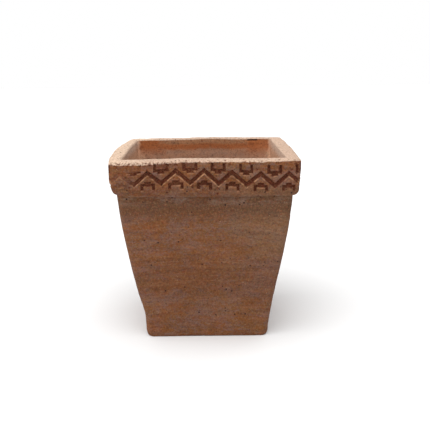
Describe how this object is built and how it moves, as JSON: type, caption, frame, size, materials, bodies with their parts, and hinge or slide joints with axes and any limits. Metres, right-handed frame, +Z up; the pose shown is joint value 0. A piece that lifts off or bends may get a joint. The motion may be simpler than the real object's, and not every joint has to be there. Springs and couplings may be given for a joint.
{
  "type": "terracotta planter",
  "caption": "Square tapering terracotta planter, hand built from clay slabs, with a carved zigzag strip round its rim and a drain hole in its floor.",
  "frame": {"origin": "centre of the drain hole at the underside of the floor slab, on the surface that the planter stands on", "axes": "+Z up, -Y out of the front side, +X to the right of someone who faces the front"},
  "size_m": [0.318, 0.305, 0.315],
  "materials": {
    "body_clay": "unglazed, matt",
    "rim_clay": "unglazed, matt",
    "coil_clay": "unglazed, matt"
  },
  "bodies": {
    "root": {"floor_slab": "body_clay", "wall_front": "body_clay", "wall_right": "body_clay", "wall_back": "body_clay", "wall_left": "body_clay", "rim_strip_front": "rim_clay", "rim_strip_right": "rim_clay", "rim_strip_back": "rim_clay", "rim_strip_left": "rim_clay", "corner_coil_left_front": "coil_clay", "corner_coil_front_right": "coil_clay", "corner_coil_right_back": "coil_clay", "corner_coil_back_left": "coil_clay", "floor_coil_front": "coil_clay", "floor_coil_right": "coil_clay", "floor_coil_back": "coil_clay", "floor_coil_left": "coil_clay"}
  },
  "joints": []
}
